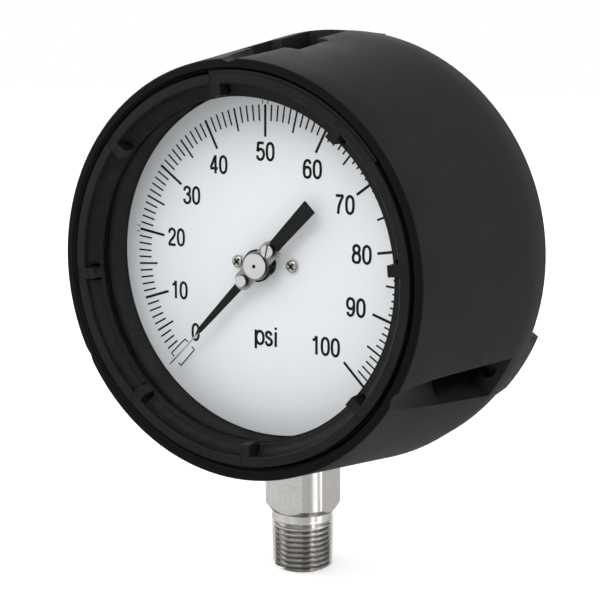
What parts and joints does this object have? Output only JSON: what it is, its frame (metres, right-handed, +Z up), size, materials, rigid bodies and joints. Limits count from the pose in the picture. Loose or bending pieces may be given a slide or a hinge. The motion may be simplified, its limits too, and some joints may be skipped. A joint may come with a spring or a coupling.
{
  "type": "pressure gauge",
  "caption": "Bourdon-tube pressure gauge in a deep round black case, with a white dial behind glass, a threaded front ring, a blow-out back and a threaded bottom stem.",
  "frame": {"origin": "centre of the open end of the taper thread, on the stem's axis", "axes": "+Z up the stem to the dial, the dial faces -Y, +X to the right of the dial"},
  "size_m": [0.148, 0.0823, 0.1804],
  "materials": {
    "case_plastic": "moulded black phenolic plastic, fine matt grain",
    "ring_plastic": "moulded black plastic, smooth satin",
    "cover_plastic": "moulded black plastic, matt",
    "window_glass": "clear flat safety glass",
    "gasket_rubber": "black rubber",
    "dial_enamel": "white enamel on aluminium with black print",
    "dial_screw_steel": "zinc-plated steel",
    "stem_steel": "turned and milled stainless steel",
    "screw_steel": "plain steel",
    "tube_steel": "drawn stainless tube",
    "movement_steel": "stamped stainless steel",
    "spring_steel": "blued spring strip",
    "bushing_black": "black oxide steel",
    "pointer_black": "black enamel on aluminium",
    "pointer_silver": "bare satin aluminium",
    "hub_silver": "nickel-plated brass"
  },
  "bodies": {
    "gauge_body": {"case_body": "case_plastic", "window_gasket": "gasket_rubber", "window_glass": "window_glass", "dial_plate": "dial_enamel", "dial_screws": "dial_screw_steel", "socket_stem": "stem_steel", "socket_gasket": "gasket_rubber", "socket_screws": "screw_steel", "bourdon_tube_fixed": "tube_steel", "back_plate": "movement_steel", "front_plate": "movement_steel", "plate_pillars": "movement_steel", "plate_screws": "screw_steel", "hairspring": "spring_steel", "hairspring_stud": "movement_steel", "back_gasket": "gasket_rubber"},
    "ring": {"front_ring": "ring_plastic"},
    "arbor": {"pinion_arbor": "movement_steel", "hairspring_collet": "movement_steel", "pointer_bushing": "bushing_black"},
    "pointer": {"pointer_blade": "pointer_black", "pointer_knife": "pointer_silver", "hub_plate": "hub_silver", "hub_disc": "pointer_silver", "hub_pin": "hub_silver"},
    "trim": {"trim_screw": "hub_silver"},
    "sector": {"sector_gear": "movement_steel", "sector_arbor": "movement_steel", "link_screw": "screw_steel"},
    "link": {"link_bar": "movement_steel"},
    "tube_end": {"bourdon_tube_free": "tube_steel", "tube_tip": "tube_steel"},
    "cover": {"blowout_back": "cover_plastic"}
  },
  "joints": [
    {"name": "pointer_sweep", "type": "hinge", "parent": "gauge_body", "child": "arbor", "pos_m": [0, 0, 0.1064], "axis": [0, 1, 0], "range_deg": [0, 270], "stiffness_Nm_per_rad": 0.001},
    {"name": "sector_swing", "type": "hinge", "parent": "gauge_body", "child": "sector", "pos_m": [0, 0, 0.08465], "axis": [0, -1, 0], "range_deg": [0, 20]},
    {"name": "link_swing", "type": "hinge", "parent": "sector", "child": "link", "pos_m": [0.0041, -0.0094, 0.07337], "axis": [0, -1, 0], "range_deg": [-21, 0]},
    {"name": "tube_flex", "type": "hinge", "parent": "gauge_body", "child": "tube_end", "pos_m": [0, 0.002, 0.1464], "axis": [0, -1, 0], "range_deg": [0, 3.6]},
    {"name": "pointer_trim", "type": "hinge", "parent": "arbor", "child": "pointer", "pos_m": [0, -0.028, 0.1064], "axis": [0, -1, 0], "range_deg": [-10, 10]},
    {"name": "trim_screw_turn", "type": "hinge", "parent": "pointer", "child": "trim", "pos_m": [0.00493, -0.028, 0.11151], "axis": [0, -1, 0], "range_deg": [-16, 16]},
    {"name": "ring_turn", "type": "hinge", "parent": "gauge_body", "child": "ring", "pos_m": [0, -0.038, 0.1064], "axis": [0, -1, 0], "range_deg": [0, 360]},
    {"name": "back_release", "type": "slide", "parent": "gauge_body", "child": "cover", "axis": [0, 1, 0], "range_m": [0, 0.008]}
  ],
  "couplings": [
    {"joint": "sector_swing", "follows": "pointer_sweep", "ratio": 0.074074},
    {"joint": "tube_flex", "follows": "pointer_sweep", "ratio": 0.013},
    {"joint": "link_swing", "follows": "pointer_sweep", "ratio": -0.076319},
    {"joint": "trim_screw_turn", "follows": "pointer_trim", "ratio": 1.5714}
  ]
}
